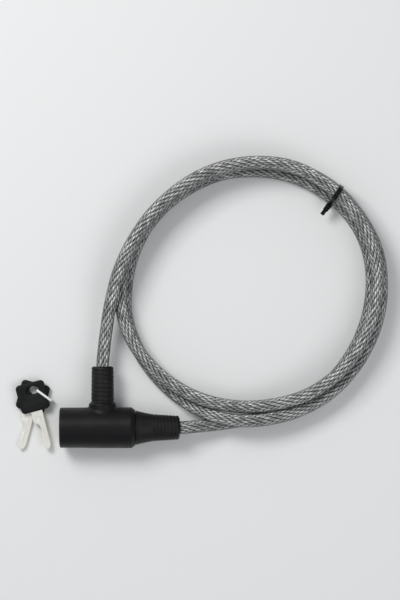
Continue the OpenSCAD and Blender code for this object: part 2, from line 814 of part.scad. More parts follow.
// Flat steel blade: a shoulder under the bow, a neck, and a tip that widens to its profile.
module key_blade() {
    outline = [
        [4.6, shoulder_y], [4.6, -37], [3.8, -40], [1.2, -42.4], [-1.8, -39.9], [-2.2, -33.8],
        [-1, -29.6], [0, -26.8], [-0.2, -24.2], [-0.7, -22.5], [-2.2, -20.8], [-3.9, -19.9],
        [-4.4, -19.2], [-4.4, shoulder_y], [-tang_w / 2, shoulder_y], [-tang_w / 2, tang_y],
        [tang_w / 2, tang_y], [tang_w / 2, shoulder_y]
    ];
    groove_depth = 0.4;
    translate([0, 0, (bow_t - blade_t) / 2])
        difference() {
            linear_extrude(blade_t)
                polygon(outline);
            translate([1.6, -40, blade_t - groove_depth])
                cube([1.2, 24, groove_depth + eps]);
        }
}

module key_front_bow() {
    color([0.07, 0.08, 0.07])
        place_key(front_h, key_spread)
            key_bow();
}

module key_front_blade() {
    color([0.85, 0.85, 0.80])
        place_key(front_h, key_spread)
            key_blade();
}

module key_rear_bow() {
    color([0.07, 0.08, 0.07])
        place_key(rear_h, -key_spread)
            key_bow();
}

module key_rear_blade() {
    color([0.85, 0.85, 0.80])
        place_key(rear_h, -key_spread)
            key_blade();
}

// Nylon strap through both bows, closed round their edges.
module key_tie() {
    length = strap_u[1] - strap_u[0];
    height = strap_h[1] - strap_h[0];
    corner = 1.5;
    color([0.93, 0.93, 0.90])
        translate([strap_pos[0], strap_pos[1], floor_z])
            rotate([90, 0, strap_angle])
                translate([(strap_u[0] + strap_u[1]) / 2, (strap_h[0] + strap_h[1]) / 2, 0])
                    linear_extrude(strap_w, center = true)
                        difference() {
                            rounded_plate(length, height, corner);
                            rounded_plate(length - 2 * strap_t, height - 2 * strap_t,
                                          corner - strap_t);
                        }
}

barrel_jacket();
mouth_ring();
lock_body();
face_plate();
cylinder_sleeve();
sleeve_pin();
core();
core_clip();
latch();
latch_spring();
ejector();
ejector_spring();
fixed_ferrule();
ferrule_pin();
cable_tail_fixed();
t_boot();
locking_pin();
plug_ferrule();
plug_boot();
cable_tail_plug();
cable();
cable_tie();
key_front_bow();
key_front_blade();
key_rear_bow();
key_rear_blade();
key_tie();
for (i = [1:wafer_count]) {
    wafer(i);
    wafer_spring(i);
}
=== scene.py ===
from math import cos, pi, radians, sin, sqrt

import bmesh
import bpy
import numpy as np
from mathutils import Matrix, Vector


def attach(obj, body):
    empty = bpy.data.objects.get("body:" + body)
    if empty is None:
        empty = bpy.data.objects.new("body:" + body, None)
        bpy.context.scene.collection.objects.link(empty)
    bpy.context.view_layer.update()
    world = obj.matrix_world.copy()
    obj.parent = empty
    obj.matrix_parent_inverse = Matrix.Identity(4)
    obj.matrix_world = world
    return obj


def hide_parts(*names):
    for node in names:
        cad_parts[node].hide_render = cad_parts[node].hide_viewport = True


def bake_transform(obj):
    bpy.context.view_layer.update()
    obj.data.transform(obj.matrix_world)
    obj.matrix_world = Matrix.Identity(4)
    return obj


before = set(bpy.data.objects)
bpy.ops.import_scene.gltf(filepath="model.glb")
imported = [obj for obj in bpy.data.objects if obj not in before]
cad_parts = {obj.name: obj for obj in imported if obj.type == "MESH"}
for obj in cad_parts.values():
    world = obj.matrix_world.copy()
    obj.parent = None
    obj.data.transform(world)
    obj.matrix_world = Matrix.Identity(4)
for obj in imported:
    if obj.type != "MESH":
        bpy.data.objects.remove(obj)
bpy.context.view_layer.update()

# ---- Studio ----
# The lock lies on a pale table, with its barrel's axis 15.7 mm above the table's top.
# A broad soft lamp stands at the upper left, a fainter one at the lower right, and the
# camera looks straight down.
barrel_radius = 0.0157
table_z = -barrel_radius
view_middle = (0.0965, 0.0983)
view_length = 0.462
camera_height = 2.4
film_width = 36
sight_limit = 30
table_half = 4

camera = bpy.data.objects.new("camera", bpy.data.cameras.new("camera"))
camera.location = (*view_middle, camera_height)
camera.data.sensor_fit = "AUTO"
camera.data.sensor_width = film_width
camera.data.lens = film_width * camera_height / view_length
camera.data.clip_end = sight_limit
bpy.context.collection.objects.link(camera)
bpy.context.scene.camera = camera
bpy.context.scene.view_settings.view_transform = "Standard"


def new_material(name):
    """A new material, its node tree and its shader."""
    material = bpy.data.materials.new(name)
    material.use_nodes = True
    return material, material.node_tree, material.node_tree.nodes["Principled BSDF"]


def add_node(tree, kind, links=(), **settings):
    """A shader node with its settings, and its inputs set from values or from other sockets."""
    node = tree.nodes.new(kind)
    for key, value in settings.items():
        setattr(node, key, value)
    for socket, value in dict(links).items():
        if isinstance(value, bpy.types.NodeSocket):
            tree.links.new(value, node.inputs[socket])
        else:
            node.inputs[socket].default_value = value
    return node


table_mesh = bpy.data.meshes.new("table")
table_mesh.from_pydata([(-table_half, -table_half, 0), (table_half, -table_half, 0),
                        (table_half, table_half, 0), (-table_half, table_half, 0)],
                       [], [(0, 1, 2, 3)])
table = bpy.data.objects.new("table", table_mesh)
table.location = (*view_middle, table_z)
bpy.context.collection.objects.link(table)
paper, _, paper_shader = new_material("table_paper")
paper_shader.inputs["Base Color"].default_value = (0.80, 0.80, 0.79, 1)
paper_shader.inputs["Roughness"].default_value = 0.8
table_mesh.materials.append(paper)


def soft_lamp(name, spot, size, power):
    """A square lamp that looks at the middle of the view."""
    lamp = bpy.data.objects.new(name, bpy.data.lights.new(name, "AREA"))
    lamp.data.size = size
    lamp.data.energy = power
    lamp.location = spot
    aim = Vector((*view_middle, 0)) - Vector(spot)
    lamp.rotation_euler = aim.to_track_quat("-Z", "Y").to_euler()
    bpy.context.collection.objects.link(lamp)


soft_lamp("key_lamp", (-0.6, 0.8, 1.2), size=0.6, power=14)
soft_lamp("fill_lamp", (0.8, -0.5, 1.3), size=0.9, power=5)
sky = bpy.data.worlds.new("sky")
sky.use_nodes = True
sky_light = sky.node_tree.nodes["Background"].inputs
sky_light["Color"].default_value = (0.92, 0.95, 1.0, 1)
sky_light["Strength"].default_value = 0.42
bpy.context.scene.world = sky

# ---- Lock body and cylinder ----
# Everything inside the barrel is metal: a die-cast zinc body, a brass cylinder with five brass
# wafers, and turned steel pins and springs. At the key's end the brass core shows in its
# steel face plate.
def add_math(tree, operation, *values):
    """The output of a Math node on values or other sockets."""
    return add_node(tree, "ShaderNodeMath", enumerate(values), operation=operation).outputs[0]


def add_blend(tree, amount, first, second):
    """The output of a colour Mix node."""
    mix = add_node(tree, "ShaderNodeMix", data_type="RGBA")
    for socket, value in ((mix.inputs[0], amount), (mix.inputs[6], first), (mix.inputs[7], second)):
        if isinstance(value, bpy.types.NodeSocket):
            tree.links.new(value, socket)
        else:
            socket.default_value = value
    return mix.outputs[2]


def add_range(tree, value, low, high, to_low=0.0, to_high=1.0):
    """The output of a Map Range node that passes softly from one value to the other."""
    return add_node(tree, "ShaderNodeMapRange", enumerate((value, low, high, to_low, to_high)),
                    interpolation_type="SMOOTHSTEP").outputs[0]


def new_group(name, inputs, outputs):
    """An empty node group with named sockets, and its inner input and output sockets."""
    group = bpy.data.node_groups.new(name, "ShaderNodeTree")
    for way, sockets in (("INPUT", inputs), ("OUTPUT", outputs)):
        for title, kind in sockets.items():
            group.interface.new_socket(title, in_out=way, socket_type="NodeSocket" + kind)
    return (group, group.nodes.new("NodeGroupInput").outputs,
            group.nodes.new("NodeGroupOutput").inputs)


def finish_with(name, group, values, bump, **sockets):
    """A material that takes its colour, roughness and relief from one node group.

    bump is the depth of the relief in metres, and sockets are set on the shader itself."""
    material, tree, shader = new_material(name)
    effect = tree.nodes.new("ShaderNodeGroup")
    effect.node_tree = group
    for title, value in values.items():
        effect.inputs[title].default_value = value
    tree.links.new(effect.outputs["Colour"], shader.inputs["Base Color"])
    tree.links.new(effect.outputs["Roughness"], shader.inputs["Roughness"])
    relief = add_node(tree, "ShaderNodeBump", {
        "Height": effect.outputs["Height"], "Strength": 1.0, "Distance": bump})
    tree.links.new(relief.outputs[0], shader.inputs["Normal"])
    for title, value in sockets.items():
        shader.inputs[title.replace("_", " ")].default_value = value
    return material


# Metal from a tool or a die: two tones that shift softly, and fine marks. Turning is how many
# rings a turning tool left in a metre, about the barrel's axis; Stretch is how many marks there
# are in a metre along X, Y and Z.
worked_metal, given, put_out = new_group(
    "worked_metal", {"Light": "Color", "Dark": "Color", "Turning": "Float", "Stretch": "Vector",
                     "Shine": "Float"},
    {"Colour": "Color", "Roughness": "Float", "Height": "Float"})
spot = add_node(worked_metal, "ShaderNodeTexCoord").outputs["Object"]
axes = add_node(worked_metal, "ShaderNodeSeparateXYZ", {0: spot}).outputs
from_axis_squared = add_math(
    worked_metal, "ADD", add_math(worked_metal, "MULTIPLY", axes[1], axes[1]),
    add_math(worked_metal, "MULTIPLY", axes[2], axes[2]))
from_axis = add_node(worked_metal, "ShaderNodeCombineXYZ", {
    0: axes[0], 1: add_math(worked_metal, "SQRT", from_axis_squared)}).outputs[0]
rings = add_node(worked_metal, "ShaderNodeVectorMath", {0: from_axis, "Scale": given["Turning"]},
                 operation="SCALE").outputs[0]
stretched = add_node(worked_metal, "ShaderNodeVectorMath", {0: spot, 1: given["Stretch"], 2: rings},
                     operation="MULTIPLY_ADD").outputs[0]
marks = add_node(worked_metal, "ShaderNodeTexNoise", {
    "Vector": stretched, "Scale": 1.0, "Detail": 2.0, "Roughness": 0.6}).outputs[0]
patches = add_node(worked_metal, "ShaderNodeTexNoise", {
    "Vector": spot, "Scale": 110.0, "Detail": 2.0, "Roughness": 0.5}).outputs[0]
patch_share, mark_share = 0.45, 0.55
tone = add_math(worked_metal, "ADD", add_range(worked_metal, patches, 0.35, 0.65, 0.0, patch_share),
                add_range(worked_metal, marks, 0.3, 0.7, 0.0, mark_share))
dull, bright = 0.72, 0.6
links = worked_metal.links
links.new(add_blend(worked_metal, tone, given["Dark"], given["Light"]), put_out["Colour"])
links.new(add_math(worked_metal, "SUBTRACT", add_range(worked_metal, marks, 0.3, 0.7, dull, bright),
                   given["Shine"]), put_out["Roughness"])
links.new(marks, put_out["Height"])

metal_finishes = {
    "zinc": finish_with("cast_zinc", worked_metal, {
        "Light": (0.50, 0.51, 0.53, 1), "Dark": (0.38, 0.39, 0.41, 1), "Turning": 0.0,
        "Stretch": (2500, 2500, 2500), "Shine": 0.12}, bump=0.00006, Metallic=1.0),
    "brass": finish_with("turned_brass", worked_metal, {
        "Light": (0.80, 0.62, 0.30, 1), "Dark": (0.64, 0.47, 0.20, 1), "Turning": 4200.0,
        "Stretch": (60, 60, 60), "Shine": 0.34}, bump=0.00002, Metallic=1.0),
    "steel": finish_with("turned_steel", worked_metal, {
        "Light": (0.74, 0.75, 0.76, 1), "Dark": (0.58, 0.59, 0.60, 1), "Turning": 4200.0,
        "Stretch": (60, 60, 60), "Shine": 0.38}, bump=0.00002, Metallic=1.0),
    "alloy": finish_with("swaged_aluminium", worked_metal, {
        "Light": (0.76, 0.77, 0.78, 1), "Dark": (0.60, 0.61, 0.63, 1), "Turning": 0.0,
        "Stretch": (700, 4200, 4200), "Shine": 0.24}, bump=0.00004, Metallic=1.0),
}
metal_nodes = {
    "zinc": ["lock_body", "latch"],
    "brass": ["core", "cylinder_sleeve"] + [f"wafer_{n}" for n in range(1, 6)],
    "steel": ["face_plate", "sleeve_pin", "core_clip", "latch_spring", "ejector", "ejector_spring",
              "ferrule_pin", "locking_pin"] + [f"wafer_spring_{n}" for n in range(1, 6)],
    "alloy": ["fixed_ferrule", "plug_ferrule", "cable_tail_fixed", "cable_tail_plug"],
}
for finish, names in metal_nodes.items():
    for name in names:
        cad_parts[name].material_slots[0].material = metal_finishes[finish]

# ---- Barrel jacket ----
# The jacket is one black moulding with a soft satin skin: a tube with rounded ends over the
# casting, and a collar that grows out of its side for the cable's boot. The stretch next to
# the key is a little thinner, where a bracket grips it.
mm = 0.001
barrel_start = -0.0115
branch_x = barrel_start + 33 * mm
sharp_corner = radians(38)
round_steps = 112
same_place = 1e-6


def grid_object(name, points, materials, ends="caps", uv=None):
    """A mesh through rows of closed rings. Its ends are capped, or joined to each other."""
    rows, columns = points.shape[:2]
    row_count = rows if ends == "joined" else rows - 1
    row, column = np.meshgrid(np.arange(row_count), np.arange(columns), indexing="ij")
    row, column = row.ravel(), column.ravel()
    corners = np.stack([np.stack([row, row, row + 1, row + 1], 1),
                        np.stack([column, column + 1, column + 1, column], 1)], 2)
    faces = (corners[..., 0] % rows * columns + corners[..., 1] % columns).tolist()
    if ends == "caps":
        faces += [list(range(columns))[::-1], [(rows - 1) * columns + k for k in range(columns)]]
    mesh = bpy.data.meshes.new(name)
    mesh.from_pydata(points.reshape(-1, 3).tolist(), [], faces)
    if uv is not None:
        places = uv(corners[..., 0], corners[..., 1]).reshape(-1, 2)
        unused = np.zeros((sum(len(f) for f in faces) - len(places), 2))
        mesh.uv_layers.new(name="along").data.foreach_set("uv", np.vstack([places, unused]).ravel())
    for material in materials:
        mesh.materials.append(material)
    thing = bpy.data.objects.new(name, mesh)
    bpy.context.collection.objects.link(thing)
    tidy_faces(mesh)
    return thing


def tidy_faces(mesh):
    """Turns every face outwards, and shades the mesh smooth between its sharp corners."""
    shape = bmesh.new()
    shape.from_mesh(mesh)
    bmesh.ops.dissolve_degenerate(shape, dist=same_place, edges=shape.edges)
    bmesh.ops.recalc_face_normals(shape, faces=shape.faces)
    shape.to_mesh(mesh)
    shape.free()
    mesh.shade_smooth()
    mesh.set_sharp_from_angle(angle=sharp_corner)


def joined(name, parts):
    """One object from several, which are taken away."""
    shape = bmesh.new()
    for part in parts:
        shape.from_mesh(part.data)
    mesh = parts[0].data
    shape.to_mesh(mesh)
    shape.free()
    for part in parts[1:]:
        bpy.data.objects.remove(part)
    parts[0].name = mesh.name = name
    return parts[0]


def made_mesh(thing):
    """The mesh that an object's curve or its cut gives."""
    bpy.context.view_layer.update()
    state = bpy.context.evaluated_depsgraph_get()
    return bpy.data.meshes.new_from_object(thing.evaluated_get(state))


def cut_away(thing, tool):
    """Takes one closed mesh out of another for good."""
    cutter = thing.modifiers.new("cut", "BOOLEAN")
    cutter.object = tool
    cut = made_mesh(thing)
    thing.modifiers.clear()
    thing.data = cut
    bpy.data.objects.remove(tool)
    tidy_faces(cut)


def softened(outline, steps=5):
    """A closed outline of (radius, station, cut) in millimetres, each corner rounded by its cut.

    A cut takes less than half of either side, and one more point just past each end of the
    rounding keeps the sides straight."""
    side_share, just_past = 2.3, 1.12
    soft = []
    for k, (r, u, round_off) in enumerate(outline):
        corner = np.array((r, u), float)
        if round_off == 0:
            soft.append(corner)
            continue
        near = [np.array(outline[(k + way) % len(outline)][:2], float) - corner for way in (-1, 1)]
        reach = [min(round_off, np.linalg.norm(way) / side_share) * way / np.linalg.norm(way)
                 for way in near]
        soft.append(corner + just_past * reach[0])
        for t in np.linspace(0, 1, steps):
            soft.append(corner + (1 - t) ** 2 * reach[0] + t ** 2 * reach[1])
        soft.append(corner + just_past * reach[1])
    return np.array(soft)


def turned(name, outline, materials, around="barrel"):
    """A body turned about the barrel's axis or the branch's, from a closed outline in millimetres.

    Stations are counted from the key's end, or from the barrel's axis out along the branch."""
    angles = 2 * pi * np.arange(round_steps) / round_steps
    r, u = outline[:, 0, None] * mm, outline[:, 1, None] * mm
    across, up, along = r * np.cos(angles), r * np.sin(angles), u + 0 * angles
    if around == "barrel":
        points = np.stack([barrel_start + along, across, up], -1)
    else:
        points = np.stack([branch_x + across, along, up], -1)
    return grid_object(name, points, materials, ends="joined")


# Moulded plastic: a fine eroded grain, and faint clouds where handling has polished it.
moulded_skin, given, put_out = new_group(
    "moulded_skin", {"Colour": "Color", "Handled": "Color", "Grain": "Float", "Roughness": "Float"},
    {"Colour": "Color", "Roughness": "Float", "Height": "Float"})
spot = add_node(moulded_skin, "ShaderNodeTexCoord").outputs["Object"]
grain = add_node(moulded_skin, "ShaderNodeTexNoise", {
    "Vector": spot, "Scale": given["Grain"], "Detail": 2.0, "Roughness": 0.5}).outputs[0]
clouds = add_node(moulded_skin, "ShaderNodeTexNoise", {
    "Vector": spot, "Scale": 85.0, "Detail": 4.0, "Roughness": 0.6}).outputs[0]
handled = add_range(moulded_skin, clouds, 0.42, 0.72)
links = moulded_skin.links
links.new(add_blend(moulded_skin, handled, given["Colour"], given["Handled"]), put_out["Colour"])
links.new(add_math(moulded_skin, "ADD", given["Roughness"], add_math(
    moulded_skin, "SUBTRACT", add_math(moulded_skin, "MULTIPLY", grain, 0.12),
    add_math(moulded_skin, "MULTIPLY", handled, 0.08))), put_out["Roughness"])
links.new(grain, put_out["Height"])
black_plastic = finish_with("satin_black_plastic", moulded_skin, {
    "Colour": (0.0045, 0.0045, 0.005, 1), "Handled": (0.007, 0.007, 0.0075, 1),
    "Grain": 5200.0, "Roughness": 0.40}, bump=0.00004, Specular_IOR_Level=0.2)

tube = turned("jacket_tube", softened([
    (10.0, 0.0, 0.3), (15.5, 0.0, 1.5), (15.5, 19.0, 3.0), (15.7, 25.0, 3.0), (15.7, 53.1, 0.1),
    (15.55, 53.4, 0.15), (15.7, 53.7, 0.1), (15.7, 55.1, 0.25), (13.5, 55.1, 0), (13.5, 1.6, 0),
    (10.0, 1.6, 0)]), [black_plastic])
boot_bore = turned("boot_bore", np.array([(0.01, 12.0), (8.9, 12.0), (8.9, 22.0), (0.01, 22.0)]),
                   [], around="branch")
cut_away(tube, boot_bore)


def collar_outline(angle, side=10.7, foot=12.2, barrel=15.7, bore=8.9, rim=19.6,
                   fillet_limit=17.35):
    """Radius and height of the collar's skin at one angle round the branch, down to the barrel."""
    def barrel_height(r):
        return sqrt(barrel ** 2 - (r * sin(angle)) ** 2)
    fillet_top = min(barrel_height(side) + 1.0 + 1.6 * abs(sin(angle)), fillet_limit)
    tangent = -foot * sin(angle) ** 2 / barrel_height(foot)
    corner = barrel_height(foot) + tangent * (side - foot)
    top = softened([(bore, 12.0, 0), (bore, rim, 0.15), (9.35, rim, 0.5), (side, 17.9, 0.5),
                    (side, fillet_top, 0)])
    fillet = [((1 - t) ** 2 * side + 2 * t * (1 - t) * side + t ** 2 * foot,
               (1 - t) ** 2 * fillet_top + 2 * t * (1 - t) * corner
               + t ** 2 * (barrel_height(foot) - 0.03)) for t in np.linspace(0.12, 1, 8)]
    # The skin ends inside the tube's wall.
    inside = [(foot - 0.6, barrel_height(foot) - 1.2), (bore + 0.4, 11.0)]
    return np.vstack([top, fillet, inside])


angles = 2 * pi * np.arange(round_steps) / round_steps
skin = np.array([collar_outline(angle) for angle in angles]).transpose(1, 0, 2) * mm
collar = grid_object("collar", np.stack([
    branch_x + skin[..., 0] * np.cos(angles), skin[..., 1], skin[..., 0] * np.sin(angles)], -1),
    [black_plastic], ends="joined")
jacket = joined("barrel_jacket_skin", [tube, collar])
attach(jacket, "lock")
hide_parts("barrel_jacket")

# ---- Mouth ring ----
# The ring closes the mouth of the barrel and guides the plug's pin. It is moulded in the same
# black plastic, pressed in by its spigot, and its front is domed.
spigot = [(4.4, 54.0), (13.45, 54.0), (13.45, 55.1), (15.5, 55.1)]
# The dome's first corner is the spigot's too, and is left out once it has steered the rounding.
dome = softened([(4.4, 54.0, 0), (15.7, 55.1, 0.2), (15.62, 55.4, 0.9), (13.7, 57.9, 0.6),
                 (13.0, 58.4, 0.4), (4.4, 58.4, 0.5)])[1:]
mouth = turned("mouth_ring_skin", np.vstack([spigot, dome]), [black_plastic])
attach(mouth, "lock")
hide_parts("mouth_ring")

# ---- Branch boot ----
# A boot of soft black rubber holds the cable where it enters the branch. Eight moulded rings
# let it bend, and its end is rounded over around the cable.
black_rubber = finish_with("black_rubber", moulded_skin, {
    "Colour": (0.0055, 0.0055, 0.0058, 1), "Handled": (0.010, 0.010, 0.010, 1),
    "Grain": 3600.0, "Roughness": 0.46}, bump=0.00006, Specular_IOR_Level=0.24)
boot_start, boot_length, boot_shoulder = 13.8, 33.3, 45.5
boot_radius, boot_taper, boot_rounding = 8.85, 0.4, 1.6


def ringed_side(radius_at, start, end, grooves, step=0.12):
    """A boot's side between two stations, with rounded grooves of (station, depth, width)."""
    side = []
    for u in np.arange(start, end, step):
        depth = sum(d * cos(pi * (u - at) / w) ** 2 for at, d, w in grooves if abs(u - at) < w / 2)
        side.append((radius_at(u) - depth, u))
    return side


def boot_side(u):
    """The boot's radius at a station, before its grooves."""
    return boot_radius - boot_taper * (u - boot_start) / boot_length


branch_grooves = [(44.1 - 3.3 * k, 0.36, 1.1) for k in range(8)]
boot = turned("branch_boot_skin", np.vstack([
    [(6.45, boot_start)], ringed_side(boot_side, boot_start, boot_shoulder, branch_grooves),
    [(6.85 + boot_rounding * cos(t), boot_shoulder + boot_rounding * sin(t))
     for t in np.linspace(0, pi / 2, 9)],
    [(5.35, 47.1), (5.05, 47.0), (4.95, 46.7), (4.95, 29.5), (6.45, 29.5)]]), [black_rubber],
    around="branch")
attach(boot, "lock")
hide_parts("t_boot")

# ---- Plug boot ----
# The plug is a steel pin, a swaged sleeve on the cable, and this grip of the same rubber moulded
# over both. It flares against the barrel, draws in to a waist, and carries seven rings and a
# domed end.
plug_start, plug_length, waist_at, dome_at = 58.7, 33.8, 13.0, 32.0
waist_radius, flare, flare_curve, taper = 10.4, 2.9, 1.25, 1.3


def plug_radius(u):
    """The grip's radius at a distance from the barrel, before its grooves."""
    if u < waist_at:
        return waist_radius + flare * (1 - u / waist_at) ** flare_curve
    return waist_radius - taper * (u - waist_at) / (plug_length - waist_at)


plug_grooves = [(1.2, 0.34, 0.9), (3.0, 0.16, 0.8)]
plug_grooves += [(30.4 - 2.65 * k, 0.32, 1.1) for k in range(7)]
grip_side = np.array(ringed_side(plug_radius, 0.15, dome_at, plug_grooves)) + (0, plug_start)
grip = turned("plug_grip_skin", np.vstack([
    [(10.05, plug_start), (12.9, plug_start), (13.15, plug_start + 0.05)], grip_side,
    [(4.95 + 4.25 * cos(t), plug_start + dome_at + 1.8 * sin(t))
     for t in np.linspace(0, pi / 2, 10)],
    [(4.95, 84.0), (6.55, 84.0), (6.55, 60.7), (10.05, 60.7)]]), [black_rubber])
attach(grip, "plug")
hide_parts("plug_boot")

# ---- Cable tie ----
# A releasable tie of black nylon holds the three windings together. Its band is 3.6 mm wide,
# the head with its release tab sits on the inner side, and a short ribbed tail sticks out.
black_nylon = finish_with("black_nylon", moulded_skin, {
    "Colour": (0.003, 0.003, 0.0032, 1), "Handled": (0.006, 0.006, 0.006, 1),
    "Grain": 2600.0, "Roughness": 0.34}, bump=0.00003, Specular_IOR_Level=0.2)
tie_place = np.array((0.2015, 0.1795, table_z))
tie_turn = radians(57)
# Where the three windings go through: across them, and above the table, in millimetres.
strand_places = np.array(((0.5, 25.3), (2.0, 15.4), (-4.3, 6.6)))
band_inside = 5.3
band_steps = 120
# The head and the tail turn a little on the band, about this place.
head_joint = -8.9
head_turn = radians(5.4)


def tie_points(u, h, w):
    """Places on the tie: u across the windings, h above the table, w along the cable."""
    u, h, w = (np.asarray(v) * mm for v in (u, h, w))
    return tie_place + np.stack([u * cos(tie_turn) + w * sin(tie_turn),
                                 u * sin(tie_turn) - w * cos(tie_turn), h + 0 * u], -1)


def corner_turns(steps):
    """The directions round the four corners of a rounded rectangle, corner by corner."""
    return np.radians(np.arange(0, 360, 90)[:, None] + np.linspace(0, 90, steps)).ravel()


def oval_outline(x, y, half_w, half_h, corner, steps=9):
    """A rounded rectangle about a middle, in millimetres."""
    turns = corner_turns(steps)
    sides = np.array([(1, 1), (-1, 1), (-1, -1), (1, -1)]).repeat(steps, axis=0)
    return np.stack([x + sides[:, 0] * (half_w - corner) + corner * np.cos(turns),
                     y + sides[:, 1] * (half_h - corner) + corner * np.sin(turns)], 1)


def block_rows(rows, corner=0.45):
    """Rings of the head or the tail along u, from (u, middle height, half width, half height)."""
    rings = []
    for u, h, half_w, half_h in rows:
        w, heights = oval_outline(0, h, half_w, half_h, corner, steps=5).T
        rings.append(tie_points(
            head_joint + (u - head_joint) * cos(head_turn) - w * sin(head_turn), heights,
            (u - head_joint) * sin(head_turn) + w * cos(head_turn)))
    return np.array(rings)


# Along the cable, and out from it: the band's two raised edges stand 0.12 mm above its middle.
band_section = np.array([
    (-1.8, 0.0), (-1.8, 0.75), (-1.68, 1.0), (-1.4, 1.1), (-0.9, 1.1), (-0.75, 0.98),
    (0.75, 0.98), (0.9, 1.1), (1.4, 1.1), (1.68, 1.0), (1.8, 0.75), (1.8, 0.0)])
band_rings = []
for turn in 2 * pi * np.arange(band_steps) / band_steps:
    way = np.array((cos(turn), sin(turn)))
    hub = strand_places[np.argmax(strand_places @ way)]
    out = hub + way * (band_inside + band_section[:, 1, None])
    band_rings.append(tie_points(out[:, 0], out[:, 1], band_section[:, 0]))
band = grid_object("band", np.array(band_rings), [black_nylon], ends="joined")
tie_head = grid_object("tie_head", block_rows([
    (-15.0, 11.0, 1.5, 1.3), (-14.85, 11.0, 1.85, 1.7), (-14.5, 11.0, 2.0, 1.9),
    (-13.3, 11.0, 2.1, 2.0), (-13.1, 11.0, 2.1, 2.0), (-13.0, 10.85, 1.9, 1.85),
    (-12.7, 10.8, 1.85, 1.8), (-12.5, 11.0, 2.15, 2.0), (-9.4, 11.0, 2.3, 2.0),
    (-9.05, 11.0, 2.1, 1.8), (-8.6, 11.0, 1.8, 1.5)]), [black_nylon])
tail_rows = [(-19.0, 11.2, 1.2, 0.46), (-18.8, 11.2, 1.45, 0.5)]
for u in np.arange(-18.6, -14.7, 0.2):
    tail_rows.append((u, 11.2, 1.55, 0.5 + 0.12 * abs(sin(pi * u / 1.1))))
tie_tail = grid_object("tie_tail", block_rows(tail_rows, corner=0.25), [black_nylon])
cable_tie = joined("cable_tie_band", [band, tie_head, tie_tail])
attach(cable_tie, "lock")
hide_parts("cable_tie")

# ---- Cable ----
# A steel wire rope of eight strands inside a tube of clear soft vinyl, 9.8 mm thick over all.
# One end is swaged into the branch of the barrel and the other into the plug, and the 1.79 m
# between them lie in a flat coil of almost three windings.
cable_radius = 0.0049
# Clear round vinyl magnifies the rope in it to nearly its full width, and the rope is drawn so.
rope_radius = 0.00475
strand_count = 8
# Length along the rope in which a strand goes once round it.
rope_lay = 0.056
branch_exit = (0.0215, 0.0471, 0.0)
plug_entry = (0.0810, 0.0, 0.0)
# The cable's route: X, Y and the height of its middle above the table, in millimetres.
cable_points_mm = (
    (24, 72, 16.5), (28, 96.5, 22.5), (34.5, 121, 25), (44.5, 142.5, 25), (58.5, 163, 25),
    (76.5, 180.5, 25), (97.5, 194, 25), (121, 202, 24.5), (146, 204, 24), (169.5, 200, 24.5),
    (191.5, 188.5, 25), (210, 172, 25.5), (224, 151, 25), (232, 127.5, 24), (232, 102.5, 22.5),
    (226.5, 78.5, 22), (215.5, 57, 21.5), (199, 38.5, 21.5), (178, 25, 21), (154, 18, 18),
    (129.5, 16, 15.5), (104.5, 20, 21), (82.5, 29, 18), (62.5, 43.5, 15), (46.5, 63, 15),
    (37, 86, 15), (35.5, 110.5, 14.5), (41.5, 134.5, 14.5), (54, 156, 15), (70.5, 174, 15),
    (90.5, 188.5, 15), (113, 199, 14.5), (138, 203.5, 14), (162.5, 201.5, 14), (186, 193, 14.5),
    (205.5, 179, 15.5), (221, 160, 15), (232.5, 137.5, 14), (236.5, 113, 13), (234.5, 88, 12.5),
    (226.5, 64.5, 12.5), (213.5, 43.5, 12.5), (196.5, 26.5, 13.5), (175, 14, 14.5), (151, 7, 17),
    (126, 5.5, 18.5), (102, 11, 17), (80, 23, 6.5), (62, 40, 5), (48.5, 60, 5),
    (40, 83.5, 5), (39.5, 108, 5), (44.5, 132.5, 5), (55.5, 155, 5), (72, 173.5, 5),
    (92, 187, 5), (115, 196, 5), (140, 198, 5), (164.5, 194.5, 5.5), (187.5, 184.5, 6.5),
    (207, 169.5, 6.5), (221.5, 149, 5.5), (228.5, 126.5, 5), (229, 101.5, 5), (223.5, 77, 5),
    (212.5, 54.5, 5), (197, 35, 5), (177, 20.5, 5), (155, 11, 5), (130.5, 5.5, 5), (106, 2, 10),
)


def smooth_line(points, spacing):
    """Points close together on one smooth curve through the given ones, ends left out."""
    points = [np.array(p, float) for p in points]
    line = []
    for a, b, c, d in zip(points, points[1:], points[2:], points[3:]):
        steps = max(2, round(np.linalg.norm(c - b) / spacing))
        for t in np.arange(steps) / steps:
            line.append(0.5 * (2 * b + (c - a) * t + (2 * a - 5 * b + 4 * c - d) * t ** 2
                               + (3 * b - a - 3 * c + d) * t ** 3))
    return np.array(line + [points[-2]])


def line_frames(line):
    """Lengths along a line, and at each point two directions across it that never twist."""
    forward = np.gradient(line, axis=0)
    forward /= np.linalg.norm(forward, axis=1)[:, None]
    lengths = np.concatenate([[0], np.cumsum(np.linalg.norm(np.diff(line, axis=0), axis=1))])
    side = np.cross(forward[0], (0, 0, 1))
    sides = []
    for way in forward:
        side = side - way * np.dot(side, way)
        side = side / np.linalg.norm(side)
        sides.append(side)
    sides = np.array(sides)
    return lengths, sides, np.cross(forward, sides)


def tube_along(name, line, section, materials, turn_length=None, uv=None):
    """A tube through a line. section holds points across it, which may turn along the line."""
    lengths, sides, ups = line_frames(line)
    turn = np.zeros(len(line)) if turn_length is None else 2 * pi * lengths / turn_length
    x = section[None, :, 0] * np.cos(turn)[:, None] - section[None, :, 1] * np.sin(turn)[:, None]
    y = section[None, :, 0] * np.sin(turn)[:, None] + section[None, :, 1] * np.cos(turn)[:, None]
    points = line[:, None] + sides[:, None] * x[..., None] + ups[:, None] * y[..., None]
    return grid_object(name, points, materials, uv=uv)


def ring_points(radius, count):
    """Points round a circle."""
    angles = 2 * pi * np.arange(count) / count
    return np.stack([np.cos(angles), np.sin(angles)], 1) * radius


